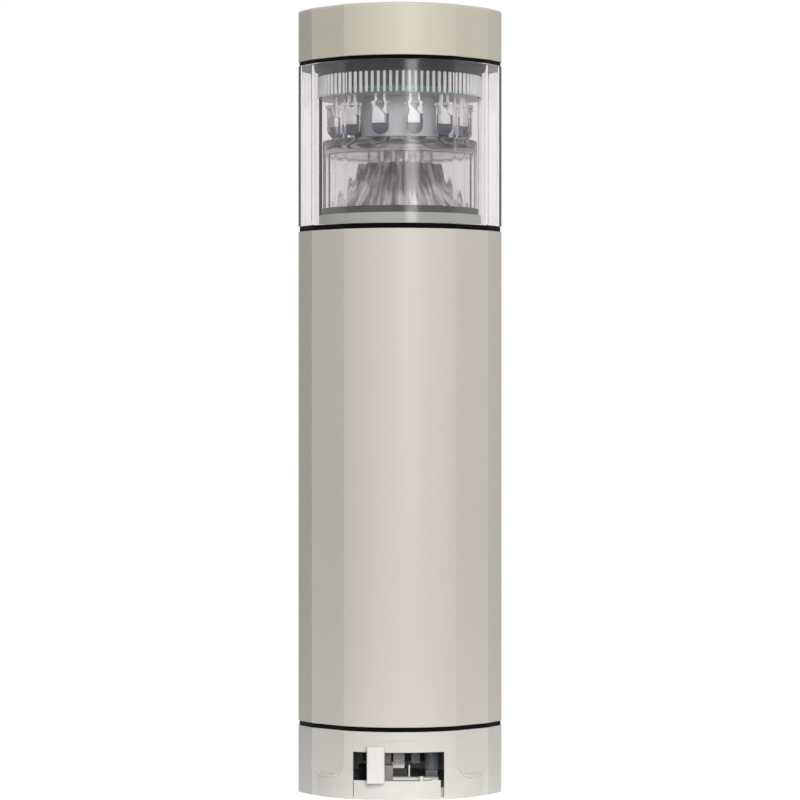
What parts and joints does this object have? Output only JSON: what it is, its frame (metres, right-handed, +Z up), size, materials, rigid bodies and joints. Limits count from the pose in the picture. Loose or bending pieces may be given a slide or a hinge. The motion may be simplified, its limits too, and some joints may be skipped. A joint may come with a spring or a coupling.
{
  "type": "stack light",
  "caption": "Signal tower: a faceted light-grey column with one clear lamp section under its cap and a service window with a sliding latch in its foot.",
  "frame": {"origin": "centre of the foot's underside, on the surface it stands on", "axes": "+Z up the column, -Y to the front, where the service window is, +X to the right seen from the front"},
  "size_m": [0.06, 0.0621, 0.2309],
  "materials": {
    "foot_grey": "satin",
    "plate_grey": "satin",
    "body_grey": "satin",
    "cap_grey": "satin",
    "collar_grey": "satin",
    "white_plastic": "satin",
    "light_plastic": "satin",
    "dark_plastic": "matte",
    "can_sleeve": "gloss",
    "seal_black": "matte",
    "clear_plastic": "gloss",
    "silvered_plastic": "polished",
    "board_green": "satin",
    "tinned_lead": "satin",
    "zinc_steel": "satin",
    "wire_black": "matte"
  },
  "bodies": {
    "tower": {"base_housing": "foot_grey", "mount_plate": "plate_grey", "latch_pin": "white_plastic", "foot_board": "board_green", "terminal_block": "dark_plastic", "switch_block": "light_plastic", "smoothing_can": "can_sleeve", "base_gasket": "seal_black", "body_housing": "body_grey", "driver_board": "board_green", "driver_coils": "dark_plastic", "tie_rods": "zinc_steel", "upper_bulkhead": "collar_grey", "lens_gasket": "seal_black", "lens": "clear_plastic", "cup_heel": "dark_plastic", "star_reflector": "silvered_plastic", "optic_cup": "clear_plastic", "led_lamps": "clear_plastic", "led_leads": "tinned_lead", "led_board": "board_green", "rib_ring": "clear_plastic", "spacer_ring": "white_plastic", "lamp_wires": "wire_black", "lamp_carrier": "dark_plastic", "cap_gasket": "seal_black", "top_cap": "cap_grey"},
    "latch": {"latch_carriage": "dark_plastic", "latch_knob": "white_plastic"}
  },
  "joints": [
    {"name": "latch_slide", "type": "slide", "parent": "tower", "child": "latch", "axis": [1, 0, 0], "range_m": [0, 0.013]}
  ]
}
